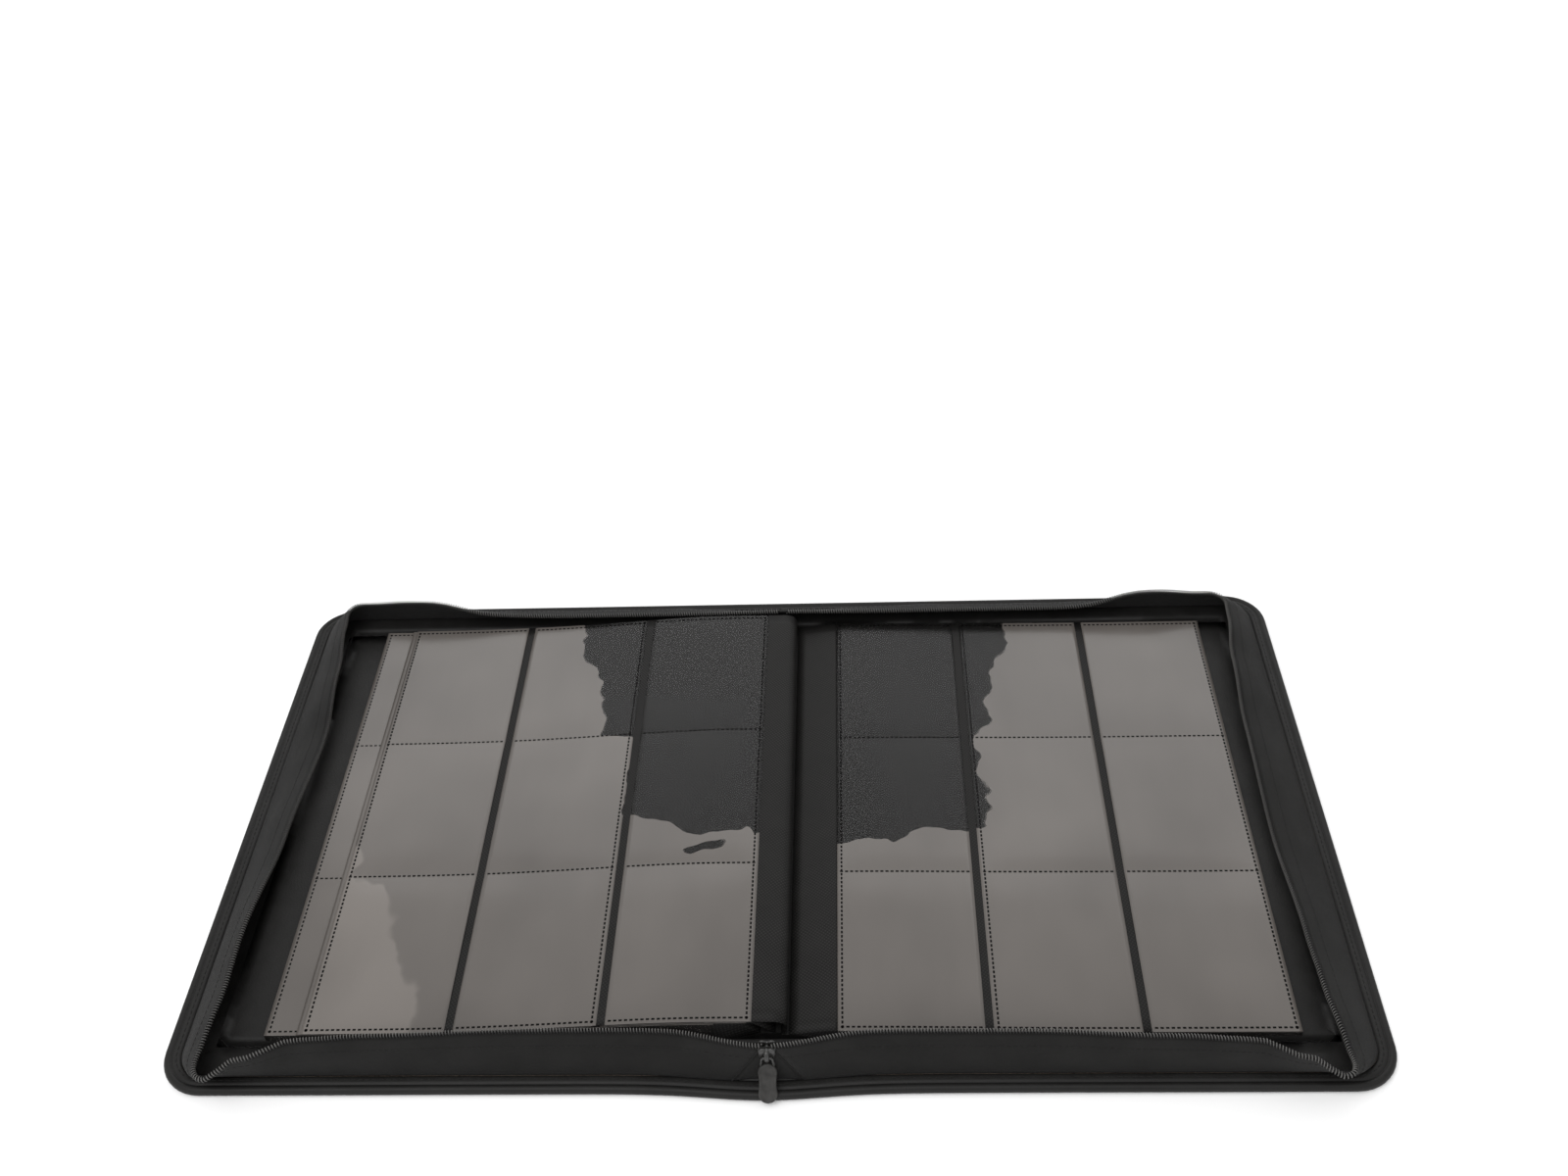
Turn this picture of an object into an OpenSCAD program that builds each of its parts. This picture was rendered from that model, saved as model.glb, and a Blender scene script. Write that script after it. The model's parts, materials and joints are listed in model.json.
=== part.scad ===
// Zip binder for trading cards, opened flat: two hard covers and a spine, twenty
// nine-pocket leaves on a central binding, and a zip that runs round three sides.
// +X across the open binder, +Y away from the reader, +Z up. The back cover is on
// the right, the front cover on the left. Folding the spine up closes the binder.

/* [Covers] */
// width of each hard cover, from its fold to its outer edge
cover_w = 265; // [262:1:275]
// height of the covers along the spine
cover_h = 336; // [332:1:345]
// width of the flat spine between the two folds
spine_w = 45; // [45:1:50]
// radius of the outer corners of the covers
corner_r = 22; // [14:1:28]
// thickness of the foam-backed outer skin
skin_t = 1.2; // [0.8:0.1:1.4]
// thickness of the stiffening board
board_t = 2.4; // [2:0.1:2.6]
// thickness of the inner lining
lining_t = 0.6; // [0.4:0.1:0.6]
// width of the rolled border round the edge
border_w = 8; // [7:0.5:9]
// height of the rolled border
border_h = 4.8; // [4.6:0.1:5]

/* [Zip gusset] */
// width of the fabric wall from its seam to the coil
gusset_w = 24; // [20:1:25]
// most that a wall stands up, so that both walls meet when closed
gusset_rise = 21; // [18:0.5:21]
// how far the wall leans inwards at the middle of the outer side
side_lean = 16; // [10:1:16]
// how far the near wall leans inwards
near_lean = 6; // [2:1:8]
// how far the far wall leans inwards
far_lean = 14; // [6:1:14]
// lean at the rounded corners
corner_lean = 4; // [2:1:6]
// thickness of the fabric wall
gusset_t = 1.2; // [0.8:0.1:1.4]
// radius of the zip coil
coil_r = 1.3; // [1:0.1:1.4]

/* [Leaves] */
// leaves on the left of the opening
left_leaves = 12; // [2:1:12]
// leaves on the right of the opening
right_leaves = 8; // [2:1:8]
// height of a leaf along the spine
leaf_h = 282; // [278:1:284]
// width of the three pocket columns together
film_w = 214; // [210:1:214]
// gap between pocket columns, where the backing shows
stripe_w = 4; // [3:0.5:5]
// thickness of the embossed backing sheet
sheet_t = 0.16; // [0.12:0.02:0.18]
// thickness of the film on each face
film_t = 0.1; // [0.06:0.02:0.12]
// vertical pitch of the stacked leaves
leaf_pitch = 0.45; // [0.44:0.01:0.46]

/* [Zip slider and pull] */
// length of the moulded pull tab from its pivot to its tip
tab_len = 17.5; // [14:0.5:17.5]
// width of the pull tab
tab_w = 9; // [7:0.5:10]
// angle of the tab from the vertical, where it hangs over the edge
tab_tilt = 27; // [22:1:30]

/* [Hidden] */
$fn = 96;
eps = 0.01;
fold_x = spine_w / 2;
half_w = fold_x + cover_w;
half_h = cover_h / 2;
fold_gap = 0.25;
board_z = skin_t;
lining_z = board_z + board_t;
lining_top = lining_z + lining_t;
inner_gap = 0.2;

// gusset seam line: a rounded rectangle just inside the border
seam_x = half_w - border_w - gusset_t / 2 - inner_gap;
seam_y = half_h - border_w - gusset_t / 2 - inner_gap;
seam_r = corner_r - border_w;
wall_z = lining_z + eps;
// the stiff part of the wall stops this far from the middle of the spine
wall_x0 = 60;
coil_x0 = 7;

// leaf stack: heights, roots and outer edges, counted from the top leaf down
leaf_z0 = 5;
left_root_top = 5;
right_root_top = 9;
left_reach = -222.2;
lower_reach = -240;
right_reach = 245.8;
// the top right leaf turns from a short strip bound onto the leaf below it
page_hinge_x = right_root_top + 1.9;
page_hinge_len = 3.2;

function left_z(k) = leaf_z0 + (left_leaves - k) * leaf_pitch;
function right_z(k) = leaf_z0 + (right_leaves - k) * leaf_pitch;
function left_root(k) = k == 1 ? left_root_top : k == 2 ? left_root_top - 2.4 : -4.5 - 1.4 * (k - 3);
function right_root(k) = right_root_top + 1.4 * (k - 1);
function left_outer(k) = k < 3 ? left_reach - 2.3 * (k - 1) : lower_reach;

// slider pivot points
slider_z = 18.5;
slider_len = 9;
plate_t = 1;
slider_gap = 3.2;
pin_r = 0.7;
link_len = 6;
link_w = 6.2;
link_y = -seam_y - slider_gap / 2 - plate_t - 1.05 - pin_r / 2;
link_z = slider_z + slider_len / 2;
tab_t = 2;
// the tab hangs past the near edge, so the covers sit this far behind the middle
y_shift = (-link_y + tab_len * sin(tab_tilt) + tab_t / 2 * cos(tab_tilt) - half_h) / 2;

// colours as the object shows them
skin_c = [0.17, 0.165, 0.16];
board_c = [0.45, 0.40, 0.34];
lining_c = [0.14, 0.135, 0.13];
sheet_c = [0.10, 0.10, 0.10];
film_c = [0.62, 0.60, 0.58, 0.6];
fabric_c = [0.13, 0.13, 0.13];
coil_c = [0.09, 0.09, 0.09];
metal_c = [0.12, 0.12, 0.12];

leaf_nodes = [
    for (k = [1:left_leaves]) each [str("left_leaf_", k, "_sheet"), str("left_leaf_", k, "_pockets")],
    for (k = [1:right_leaves]) each [str("right_leaf_", k, "_sheet"), str("right_leaf_", k, "_pockets")]
];

// ---------- helpers ----------

// moves a part from the covers' own middle to the middle of the whole binder
module placed() translate([0, y_shift, 0]) children();

// the same part on the other cover
module other_side() mirror([1, 0, 0]) children();

// flat outline of one cover, pulled in by inset on its three outer sides
module cover_outline(inset, x0) {
    r = corner_r - inset;
    x1 = half_w - inset;
    y1 = half_h - inset;
    difference() {
        translate([x0, -y1]) square([x1 - x0, 2 * y1]);
        for (s = [-1, 1]) translate([x1 - r, s * (y1 - r)]) difference() {
            translate([0, s > 0 ? 0 : -r - 1]) square([r + 1, r + 1]);
            circle(r);
        }
    }
}

// section of the rolled border: outer side at 0, rounded on top
module border_section() {
    r_out = 2.2;
    r_in = 1.2;
    difference() {
        translate([-border_w, 0]) square([border_w, border_h]);
        translate([-r_out, border_h - r_out]) difference() {
            square(r_out + 1);
            circle(r_out);
        }
        translate([-border_w + r_in, border_h - r_in]) difference() {
            translate([-r_in - 1, 0]) square(r_in + 1);
            circle(r_in);
        }
    }
}

// straight run of the border along X, on the near or far side
module border_x(x0, x1, side) {
    translate([side > 0 ? x0 : x1, side * half_h, 0])
        rotate([90, 0, side > 0 ? 90 : -90])
            linear_extrude(abs(x1 - x0)) border_section();
}

// skin of a cover: flat sheet with a border rolled up round three sides
module cover_skin() {
    x0 = fold_x + fold_gap;
    linear_extrude(skin_t) cover_outline(1, x0);
    for (s = [-1, 1]) {
        border_x(x0, half_w - corner_r, s);
        translate([half_w - corner_r, s * (half_h - corner_r), 0])
            rotate([0, 0, s > 0 ? 0 : -90])
                rotate_extrude(angle = 90) translate([corner_r, 0]) border_section();
    }
    translate([half_w, half_h - corner_r, 0])
        rotate([90, 0, 0]) linear_extrude(2 * (half_h - corner_r)) border_section();
}

module cover_board() {
    translate([0, 0, board_z]) linear_extrude(board_t)
        cover_outline(border_w + inner_gap, fold_x + 2);
}

module cover_lining() {
    // the wall's foot leans inwards over the lining's thickness
    foot_lean = 0.8;
    inset = border_w + gusset_t + 2 * inner_gap + foot_lean;
    translate([0, 0, lining_z]) linear_extrude(lining_t)
        cover_outline(inset, fold_x + fold_gap);
}

// ---------- gusset: a wall swept along the seam line ----------

// a station is [x, y, inward x, inward y, lean]
near_n = 12;
arc_n = 10;
side_n = 20;
function ease(t) = sin(90 * t);
function near_stations(x0) = [
    for (i = [0:near_n])
        let (t = i / near_n, x = x0 + (seam_x - seam_r - x0) * t)
        [x, -seam_y, 0, 1, corner_lean + (near_lean - corner_lean) * ease(1 - t)]
];
function corner_stations(side) = [
    for (i = [1:arc_n - 1])
        let (a = side > 0 ? 90 * i / arc_n : -90 + 90 * i / arc_n)
        [seam_x - seam_r + seam_r * cos(a), side * (seam_y - seam_r) + seam_r * sin(a),
         -cos(a), -sin(a), corner_lean]
];
function side_stations() = [
    for (i = [0:side_n])
        let (t = i / side_n, y = (seam_y - seam_r) * (2 * t - 1))
        [seam_x, y, -1, 0, corner_lean + (side_lean - corner_lean) * ease(1 - abs(2 * t - 1))]
];
function far_stations(x0) = [
    for (i = [0:near_n])
        let (t = i / near_n, x = seam_x - seam_r + (x0 - seam_x + seam_r) * t)
        [x, seam_y, 0, -1, corner_lean + (far_lean - corner_lean) * ease(t)]
];
function stations(x0) = concat(
    near_stations(x0), corner_stations(-1), side_stations(), corner_stations(1), far_stations(x0)
);
function rise(lean) = min(gusset_rise, sqrt(gusset_w * gusset_w - lean * lean));

// joins rings of equal length into one closed solid
module skin_rings(rings) {
    n = len(rings[0]);
    m = len(rings);
    faces = concat(
        [[for (i = [0:n - 1]) i]],
        [for (j = [0:m - 2]) for (i = [0:n - 1])
            let (a = j * n + i, b = j * n + (i + 1) % n)
            each [[a, a + n, b + n], [a, b + n, b]]],
        [[for (i = [n - 1:-1:0]) (m - 1) * n + i]]
    );
    polyhedron(points = [for (r = rings) each r], faces = faces, convexity = 6);
}

// one cross-section of the wall at a station, seam first
function wall_ring(s) =
    let (h = rise(s[4]), t = gusset_t / 2, base = wall_z)
    [
        [s[0] - s[2] * t, s[1] - s[3] * t, base],
        [s[0] + s[2] * t, s[1] + s[3] * t, base],
        [s[0] + s[2] * (s[4] + t), s[1] + s[3] * (s[4] + t), base + h - coil_r - 0.3],
        [s[0] + s[2] * (s[4] - t), s[1] + s[3] * (s[4] - t), base + h - coil_r - 0.3]
    ];

// one turn of points round the coil at a station
coil_sides = 8;
function coil_ring(s) =
    let (h = rise(s[4]))
    [for (i = [0:coil_sides - 1])
        let (a = -360 * i / coil_sides, u = coil_r * cos(a), v = coil_r * sin(a))
        [s[0] + s[2] * (s[4] + u), s[1] + s[3] * (s[4] + u), wall_z + h + v]];

module zip_gusset() skin_rings([for (s = stations(wall_x0)) wall_ring(s)]);

module zip_coil() skin_rings([for (s = stations(coil_x0)) coil_ring(s)]);

// fabric piece at one end of the spine, with a notch where the slider sits
module end_gore(side) {
    lean = side < 0 ? near_lean : far_lean;
    h = rise(lean) - coil_r - 0.3;
    half = wall_x0 - 0.3;
    notch = side < 0 ? h - (slider_z - wall_z) + 1 : 0;
    slope = atan2(lean, h);
    intersection() {
        translate([0, side * seam_y, wall_z]) rotate([side * slope, 0, 0])
            rotate([90, 0, 0]) translate([0, 0, -gusset_t / 2]) linear_extrude(gusset_t)
                difference() {
                    translate([-half, -2]) square([2 * half, h / cos(slope) + 2]);
                    translate([-coil_x0 - 0.5, h / cos(slope) - notch])
                        square([2 * coil_x0 + 1, notch + 1]);
                }
        translate([-half, -half_h, lining_top + 0.05]) cube([2 * half, cover_h, gusset_rise]);
    }
}

// ---------- leaves ----------

// flat sheet of one leaf between two edges, centred on height z
module leaf_sheet(xa, xb, z) {
    translate([min(xa, xb), -leaf_h / 2, z - sheet_t / 2]) cube([abs(xb - xa), leaf_h, sheet_t]);
}

// three pocket columns on both faces; outer is the leaf's outer edge, dir its way
module leaf_pockets(outer, dir, z) {
    col_w = (film_w - 2 * stripe_w) / 3;
    for (c = [0:2]) for (face = [-1, 1]) {
        inner_edge = outer - dir * film_w + dir * c * (col_w + stripe_w);
        xa = min(inner_edge, inner_edge + dir * col_w);
        translate([xa, -leaf_h / 2, z + face * (sheet_t + film_t) / 2 - film_t / 2])
            cube([col_w, leaf_h, film_t]);
    }
}

// ---------- sub-parts ----------

module back_cover_skin() color(skin_c) placed() cover_skin();
module back_cover_board() color(board_c) placed() cover_board();
module back_cover_lining() color(lining_c) placed() cover_lining();
module front_cover_skin() color(skin_c) placed() other_side() cover_skin();
module front_cover_board() color(board_c) placed() other_side() cover_board();
module front_cover_lining() color(lining_c) placed() other_side() cover_lining();

module spine_skin() color(skin_c) placed() {
    x1 = fold_x - fold_gap;
    translate([-x1, -half_h + 1, 0]) cube([2 * x1, cover_h - 2, skin_t]);
    for (s = [-1, 1]) border_x(-x1, x1, s);
}

module spine_board() color(board_c) placed() {
    inset = border_w + inner_gap;
    x1 = fold_x - 2;
    translate([-x1, -half_h + inset, board_z]) cube([2 * x1, cover_h - 2 * inset, board_t]);
}

module spine_lining() color(lining_c) placed() {
    inset = border_w + inner_gap;
    x1 = fold_x - fold_gap;
    translate([-x1, -half_h + inset, lining_z]) cube([2 * x1, cover_h - 2 * inset, lining_t]);
}

// stepped mound that carries the root of each leaf a little higher than the next
module binding_block() color(lining_c) placed() {
    drop = 0.3;
    step = 0.4;
    for (k = [1:left_leaves]) {
        xl = k < left_leaves ? left_root(k + 1) + step : left_root(k) - 1.2;
        translate([xl, -leaf_h / 2, lining_top])
            cube([left_root(k) + step - xl, leaf_h, max(left_z(k) - drop - lining_top, 0.3)]);
    }
    for (k = [1:right_leaves]) {
        xr = k < right_leaves ? right_root(k + 1) - step : right_root(k) + 1.2;
        xl = k == 1 ? left_root(1) + step : right_root(k) - step;
        translate([xl - eps, -leaf_h / 2, lining_top])
            cube([xr - xl + eps, leaf_h, max(right_z(k) - drop - lining_top, 0.3)]);
    }
}

module back_zip_gusset() color(fabric_c) placed() zip_gusset();
module front_zip_gusset() color(fabric_c) placed() other_side() zip_gusset();
module back_zip_coil() color(coil_c) placed() zip_coil();
module front_zip_coil() color(coil_c) placed() other_side() zip_coil();
module spine_end_gores() color(fabric_c) placed() for (s = [-1, 1]) end_gore(s);

// slider: two plates joined by a neck, with a bridge for the link
module zip_slider() color(metal_c) placed() {
    shoulder = 4.8;
    tail = 3.4;
    for (s = [-1, 1]) translate([0, -seam_y + s * (slider_gap + plate_t) / 2 + plate_t / 2, slider_z])
        rotate([90, 0, 0]) linear_extrude(plate_t)
            polygon([[-tail, 0], [tail, 0], [shoulder, slider_len * 0.55],
                     [shoulder, slider_len - 1], [shoulder - 1, slider_len],
                     [1 - shoulder, slider_len], [-shoulder, slider_len - 1],
                     [-shoulder, slider_len * 0.55]]);
    translate([0, -seam_y + slider_gap / 2 + eps, slider_z + slider_len - 1.6])
        rotate([90, 0, 0]) cylinder(r = 1.1, h = slider_gap + 2 * eps);
    bridge_w = 2.4;
    y_plate = -seam_y - slider_gap / 2 - plate_t;
    translate([-bridge_w / 2, y_plate + eps, slider_z + 1.2]) rotate([90, 0, 0]) difference() {
        cube([bridge_w, slider_len - 1.8, 3.1]);
        translate([-1, 1.2, -1]) cube([bridge_w + 2, slider_len - 4.2, 3.35]);
    }
}

// rectangular wire loop: top bar in the bridge, bottom bar in the tab's eye
module pull_link() color(metal_c) placed() translate([0, link_y, link_z]) {
    for (z = [0, -link_len]) translate([-link_w / 2, 0, z]) rotate([0, 90, 0]) cylinder(r = pin_r, h = link_w);
    for (s = [-1, 1]) {
        translate([s * link_w / 2, 0, -link_len]) cylinder(r = pin_r, h = link_len);
        for (z = [0, -link_len]) translate([s * link_w / 2, 0, z]) sphere(pin_r);
    }
}

// tab outline: round ends, slightly waisted by two shallow arcs
module tab_outline() {
    neck_w = 4.4;
    eye_r = 1.7;
    circle(eye_r);
    translate([-neck_w / 2, -4]) square([neck_w, 4]);
    difference() {
        translate([-tab_w / 2, -tab_len + tab_w / 2]) square([tab_w, tab_len - tab_w / 2 - 2.4]);
        for (s = [-1, 1]) translate([s * (tab_w / 2 + 19.2), -tab_len * 0.55]) circle(20);
    }
    translate([0, -tab_len + tab_w / 2]) circle(tab_w / 2);
}

module pull_tab() color(metal_c) placed() {
    translate([0, link_y, link_z - link_len]) rotate([90 - tab_tilt, 0, 0])
        difference() {
            intersection() {
                union() {
                    translate([0, 0, -tab_t / 2]) linear_extrude(tab_t) tab_outline();
                    rotate([0, 90, 0]) cylinder(r = 1.7, h = 4.4, center = true);
                }
                translate([0, -tab_len / 2 + 1, 0]) cube([tab_w + 1, tab_len + 6, 6], center = true);
            }
            rotate([0, 90, 0]) cylinder(r = pin_r + 0.2, h = 12, center = true);
        }
}

module page_hinge_strip() color(sheet_c) placed()
    leaf_sheet(page_hinge_x, page_hinge_x + page_hinge_len - 0.2, right_z(1));

module left_leaf_sheet(k) color(sheet_c) placed()
    leaf_sheet(left_root(k), left_outer(k), left_z(k));
module left_leaf_pockets(k) color(film_c) placed()
    leaf_pockets(left_outer(k), -1, left_z(k));
module right_leaf_sheet(k) color(sheet_c) placed()
    leaf_sheet(k == 1 ? page_hinge_x + page_hinge_len + 0.2 : right_root(k), right_reach, right_z(k));
module right_leaf_pockets(k) color(film_c) placed()
    leaf_pockets(right_reach, 1, right_z(k));

// ---------- output ----------

back_cover_skin();
back_cover_board();
back_cover_lining();
front_cover_skin();
front_cover_board();
front_cover_lining();
spine_skin();
spine_board();
spine_lining();
binding_block();
back_zip_gusset();
front_zip_gusset();
spine_end_gores();
back_zip_coil();
front_zip_coil();
zip_slider();
pull_link();
pull_tab();
page_hinge_strip();
for (k = [1:left_leaves]) {
    left_leaf_sheet(k);
    left_leaf_pockets(k);
}
for (k = [1:right_leaves]) {
    right_leaf_sheet(k);
    right_leaf_pockets(k);
}
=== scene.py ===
# Zip binder for trading cards, lying open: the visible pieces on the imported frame.
import json
import math
import random
import bpy
from mathutils import Euler, Matrix, Vector, noise


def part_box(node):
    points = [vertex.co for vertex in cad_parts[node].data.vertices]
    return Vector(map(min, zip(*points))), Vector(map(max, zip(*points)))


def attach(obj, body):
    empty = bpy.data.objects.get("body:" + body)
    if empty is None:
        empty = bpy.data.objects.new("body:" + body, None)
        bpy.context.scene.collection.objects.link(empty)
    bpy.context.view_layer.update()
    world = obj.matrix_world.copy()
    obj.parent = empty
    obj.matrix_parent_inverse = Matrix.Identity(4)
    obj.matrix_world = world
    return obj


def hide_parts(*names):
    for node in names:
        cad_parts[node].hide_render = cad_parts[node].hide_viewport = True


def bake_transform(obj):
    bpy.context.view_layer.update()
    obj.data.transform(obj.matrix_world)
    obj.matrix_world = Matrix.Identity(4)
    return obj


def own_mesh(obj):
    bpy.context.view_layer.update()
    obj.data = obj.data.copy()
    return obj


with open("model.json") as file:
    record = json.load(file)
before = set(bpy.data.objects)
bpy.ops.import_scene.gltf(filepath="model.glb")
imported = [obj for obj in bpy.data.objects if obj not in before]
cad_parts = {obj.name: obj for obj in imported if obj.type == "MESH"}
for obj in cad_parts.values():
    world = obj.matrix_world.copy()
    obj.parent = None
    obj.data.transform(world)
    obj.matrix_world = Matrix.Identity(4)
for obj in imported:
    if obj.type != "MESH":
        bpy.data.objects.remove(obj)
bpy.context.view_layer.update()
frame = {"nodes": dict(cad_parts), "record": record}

scene = bpy.context.scene
MM = 0.001
rng = random.Random(7)

# ---------- sizes, from the frame where it has them ----------

joints = frame["record"]["behaviour"]["joints"]
joint_at = {j["name"]: Vector(j.get("pos_m", (0, 0, 0))) for j in joints}
skin_lo, skin_hi = (Vector(c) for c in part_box("back_cover_skin"))
HALF_W = skin_hi.x
Y_MID = (skin_lo.y + skin_hi.y) / 2
HALF_H = (skin_hi.y - skin_lo.y) / 2
CORNER_R = 22 * MM
FOLD_X = joint_at["spine_fold"].x
leaf_lo, leaf_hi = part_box("left_leaf_1_sheet")
LEAF_H = leaf_hi[1] - leaf_lo[1]
LEFT_LEAVES, RIGHT_LEAVES = (sum(n.startswith(word) and n.endswith("sheet") for n in frame["nodes"])
                             for word in ("left_leaf", "right_leaf"))
FILM_W = 214 * MM
STRIPE_W = 4 * MM  # gap between two columns of pockets
COLUMN_W = (FILM_W - 2 * STRIPE_W) / 3
ROW_H = LEAF_H / 3
SHEET_T = 0.16 * MM
FILM_T = 0.1 * MM
WELD_IN = 2.2 * MM  # from a pocket's edge in to its weld line
COIL_STEPS = 8
RING_UV = 0.0005  # step of a tube's UVs from ring to ring
TURN_UV = COIL_STEPS * RING_UV


def smooth(t):
    t = min(max(t, 0.0), 1.0)
    return t * t * (3 - 2 * t)


def lerp(a, b, t):
    return a + (b - a) * t


def wobble(x, y, z):
    return noise.noise(Vector((x, y, z)))


def side_sign(side):
    return 1 if side == "back" else -1


# ---------- mesh helpers ----------

def mesh_piece(name, verts, faces, material, uvs=None, flat=False):
    mesh = bpy.data.meshes.new(name)
    mesh.from_pydata([tuple(v) for v in verts], [], faces)
    mesh.materials.append(material)
    if uvs:
        layer = mesh.uv_layers.new(name="UVMap")
        for loop in mesh.loops:
            layer.data[loop.index].uv = uvs[loop.vertex_index]
    if not flat:
        mesh.polygons.foreach_set("use_smooth", [True] * len(mesh.polygons))
    mesh.update()
    piece = bpy.data.objects.new(name, mesh)
    scene.collection.objects.link(piece)
    return piece


def grid_faces(rows, cols, start=0, wrap_rows=False, wrap_cols=False, flip=False):
    """Quads between rows x cols points stored row by row."""
    faces = []
    for i in range(rows if wrap_rows else rows - 1):
        for j in range(cols if wrap_cols else cols - 1):
            a = start + i * cols + j
            b = start + i * cols + (j + 1) % cols
            c = start + ((i + 1) % rows) * cols + (j + 1) % cols
            d = start + ((i + 1) % rows) * cols + j
            faces.append((a, d, c, b) if flip else (a, b, c, d))
    return faces


def shell_faces(rows, cols, start, flip):
    """Faces of a thin solid whose upper then lower point grids start at one index."""
    n = rows * cols
    faces = grid_faces(rows, cols, start, flip=flip) + grid_faces(rows, cols, start + n, flip=not flip)
    rim = list(range(cols)) + [i * cols + cols - 1 for i in range(1, rows)]
    rim += [(rows - 1) * cols + j for j in range(cols - 2, -1, -1)]
    rim += [i * cols for i in range(rows - 2, 0, -1)]
    for a, b in zip(rim, rim[1:] + rim[:1]):
        quad = (start + a, start + b, start + b + n, start + a + n)
        faces.append(quad if flip else quad[::-1])
    return faces


def closed_sheet(name, upper, lower, material, uvs, flip):
    """A thin solid from two point grids of the same shape."""
    batch = Batch()
    batch.shell(upper, lower, uvs, flip)
    return batch.piece(name, material)


def tube_points(path, radius, sides, closed=False, squeeze=1.0):
    """Rings of points along a path, with a frame that doesn't twist."""
    count = len(path)
    rings, up = [], Vector((0, 0, 1))
    for i, p in enumerate(path):
        a = path[i - 1] if i or closed else path[0]
        b = path[(i + 1) % count] if i < count - 1 or closed else path[-1]
        tangent = (b - a).normalized()
        if abs(tangent.dot(up)) > 0.95:
            up = Vector((0, 1, 0)) if abs(tangent.y) < 0.9 else Vector((1, 0, 0))
        side = tangent.cross(up).normalized()
        up = side.cross(tangent).normalized()
        rings.append([p + side * radius * math.cos(t) + up * radius * squeeze * math.sin(t)
                      for t in (math.tau * k / sides for k in range(sides))])
    return rings


class Batch:
    """Collects many small closed shapes into one mesh."""

    def __init__(self):
        self.verts, self.faces, self.uvs = [], [], []

    def rings(self, rings, closed=False, u0=0.0):
        start, sides = len(self.verts), len(rings[0])
        for i, ring in enumerate(rings):
            self.verts += ring
            self.uvs += [(u0 + i * RING_UV, j * RING_UV) for j in range(sides)]
        self.faces += grid_faces(len(rings), sides, start, wrap_rows=closed, wrap_cols=True)
        if not closed:
            last = start + (len(rings) - 1) * sides
            self.faces.append(tuple(range(start + sides - 1, start - 1, -1)))
            self.faces.append(tuple(range(last, last + sides)))

    def shell(self, upper, lower, uvs, flip):
        self.faces += shell_faces(len(upper), len(upper[0]), len(self.verts), flip)
        self.verts += [p for row in upper for p in row] + [p for row in lower for p in row]
        self.uvs += [uv for row in uvs for uv in row] * 2

    def stitch(self, a, b, up, radius):
        """One sewn thread from a to b that dips into the cloth at both ends."""
        path = [a - up * radius * 0.8, lerp(a, b, 0.2) + up * radius * 0.5,
                lerp(a, b, 0.8) + up * radius * 0.5, b - up * radius * 0.8]
        self.rings(tube_points(path, radius, 5), u0=rng.random())

    def pad(self, corners, up, height, inset):
        """A low pad with sloped sides on four corners."""
        middle = sum(corners, Vector()) / 4
        start = len(self.verts)
        self.verts += list(corners) + [lerp(c, middle, inset) + up * height for c in corners]
        self.uvs += [(0, 0)] * 8
        self.faces += [tuple(start + i for i in (3, 2, 1, 0)), tuple(start + i for i in (4, 5, 6, 7))]
        self.faces += [(start + i, start + (i + 1) % 4, start + 4 + (i + 1) % 4, start + 4 + i)
                       for i in range(4)]

    def piece(self, name, material, flat=False):
        return mesh_piece(name, self.verts, self.faces, material, self.uvs, flat)


# ---------- materials ----------

def new_material(name, color, rough, specular):
    mat = bpy.data.materials.new(name)
    mat.use_nodes = True
    tree = mat.node_tree
    shader = tree.nodes["Principled BSDF"]
    shader.inputs["Base Color"].default_value = (*color, 1)
    shader.inputs["Roughness"].default_value = rough
    shader.inputs["Specular IOR Level"].default_value = specular
    return mat, tree, shader


def node(tree, kind, sets=None, **props):
    made = tree.nodes.new("ShaderNode" + kind)
    for key, value in props.items():
        setattr(made, key, value)
    for key, value in (sets or {}).items():
        if isinstance(value, bpy.types.NodeSocket):
            tree.links.new(value, made.inputs[key])
        else:
            made.inputs[key].default_value = value
    return made


def coords(tree, scale=(1, 1, 1), angle=0.0, kind="UV"):
    base = node(tree, "TexCoord").outputs[kind]
    return node(tree, "Mapping", {"Vector": base, "Scale": scale, "Rotation": (0, 0, angle)}).outputs[0]


def calc(tree, operation, a, b=0.0):
    return node(tree, "Math", {0: a, 1: b}, operation=operation).outputs[0]


def plus(tree, a, b):
    return calc(tree, "ADD", a, b)


def times(tree, a, b):
    return calc(tree, "MULTIPLY", a, b)


def spread(tree, value, low, high, start=0.0, end=1.0):
    """Maps start..end of a value to low..high."""
    return node(tree, "MapRange", {"Value": value, "From Min": start, "From Max": end,
                                   "To Min": low, "To Max": high}).outputs[0]


def feed(tree, shader, **sockets):
    """Links values to the shader; a socket's spaces are written as underscores."""
    for name, value in sockets.items():
        tree.links.new(value, shader.inputs[name.replace("_", " ")])


def noise_tex(tree, vector, scale, detail, rough=0.55):
    return node(tree, "TexNoise", {"Vector": vector, "Scale": scale, "Detail": detail,
                                   "Roughness": rough}).outputs["Fac"]


def ramp(tree, fac, stops):
    made = node(tree, "ValToRGB", {"Fac": fac})
    elements = made.color_ramp.elements
    while len(elements) < len(stops):
        elements.new(0.5)
    for element, (at, color) in zip(elements, stops):
        element.position = at
        element.color = (*color, 1) if len(color) == 3 else color
    return made.outputs["Color"]


def grey(v):
    return (v, v * 0.97, v * 0.93)


def finish_bump(tree, shader, height, distance, strength=1.0):
    bump = node(tree, "Bump", {"Height": height, "Distance": distance, "Strength": strength})
    feed(tree, shader, Normal=bump.outputs[0])


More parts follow.
